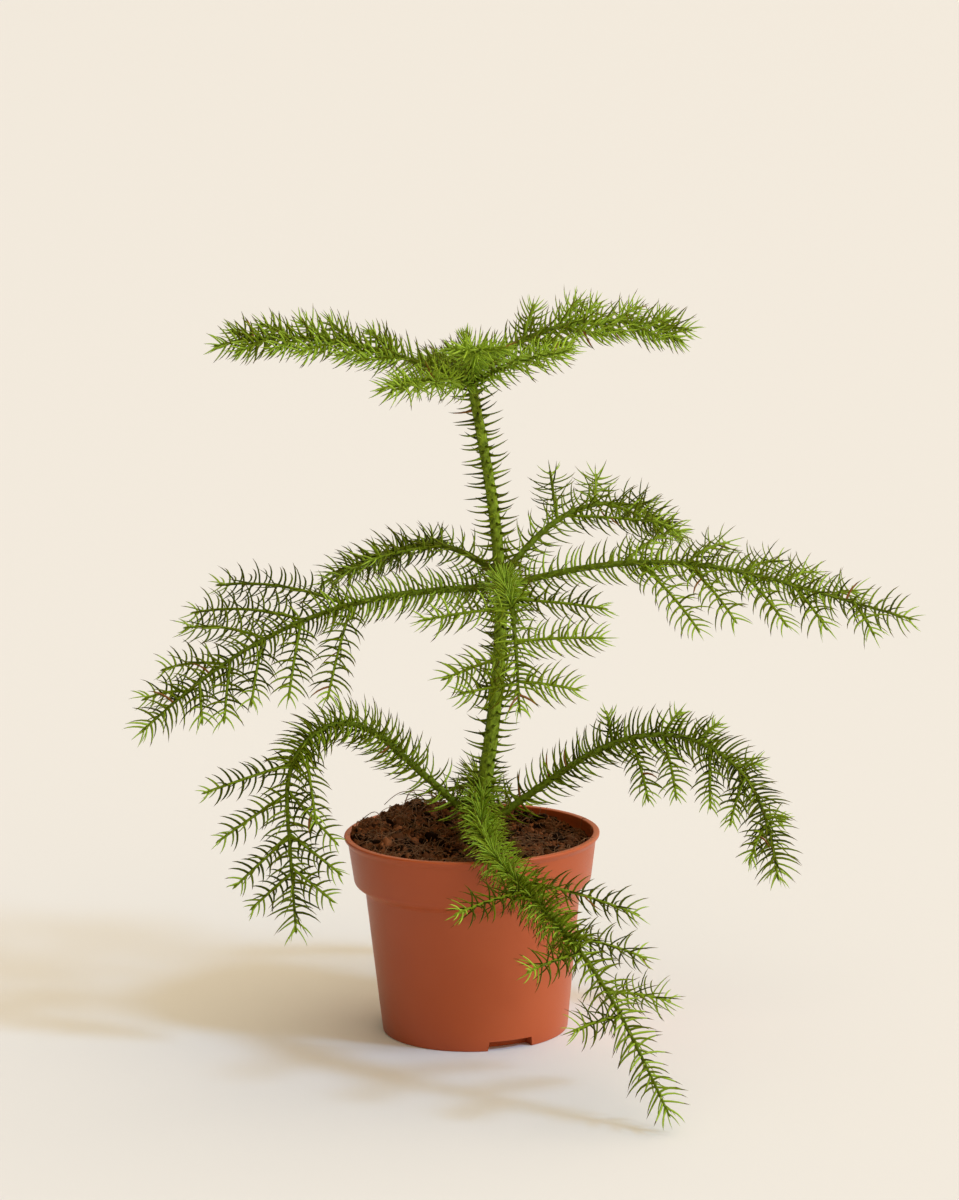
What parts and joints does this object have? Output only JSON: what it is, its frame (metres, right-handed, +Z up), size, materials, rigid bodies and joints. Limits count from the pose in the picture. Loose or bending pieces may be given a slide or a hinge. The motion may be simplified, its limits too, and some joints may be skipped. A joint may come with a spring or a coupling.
{
  "type": "potted norfolk island pine",
  "caption": "Young Norfolk Island pine with whorls of drooping feathery boughs on a thin green trunk, in a plain terracotta-coloured nursery pot of dark compost",
  "frame": {"origin": "middle of the pot's flat underside", "axes": "+Z up along the trunk, +X to the right and -Y to the front of the picture's view"},
  "size_m": [0.3676, 0.2936, 0.3475],
  "materials": {
    "pot_plastic": "smooth moulded terracotta-coloured plastic with a soft sheen",
    "compost": "damp dark brown peaty compost with loose fibres",
    "green_bark": "young green bark ridged by the feet of its needles",
    "needles": "soft awl-shaped green needles, brighter at the shoot tips"
  },
  "bodies": {
    "root": {"pot": "pot_plastic", "soil": "compost", "trunk": "green_bark", "bough_top_left": "green_bark", "bough_top_front_left": "green_bark", "bough_top_front": "green_bark", "bough_top_front_right": "green_bark", "bough_top_right": "green_bark", "bough_top_back": "green_bark", "bough_mid_left": "green_bark", "bough_mid_back_left": "green_bark", "bough_mid_back_right": "green_bark", "bough_mid_right": "green_bark", "bough_mid_front": "green_bark", "bough_low_left": "green_bark", "bough_low_right": "green_bark", "bough_low_front": "green_bark", "bough_low_back": "green_bark", "leader_tuft": "needles", "foliage_top_left": "needles", "foliage_top_front_left": "needles", "foliage_top_front": "needles", "foliage_top_front_right": "needles", "foliage_top_right": "needles", "foliage_top_back": "needles", "foliage_mid_left": "needles", "foliage_mid_back_left": "needles", "foliage_mid_back_right": "needles", "foliage_mid_right": "needles", "foliage_mid_front": "needles", "foliage_low_left_crest": "needles", "foliage_low_left_fall": "needles", "foliage_low_right_crest": "needles", "foliage_low_right_fall": "needles", "foliage_low_front_crest": "needles", "foliage_low_front_fall": "needles", "foliage_low_back": "needles"}
  },
  "joints": []
}
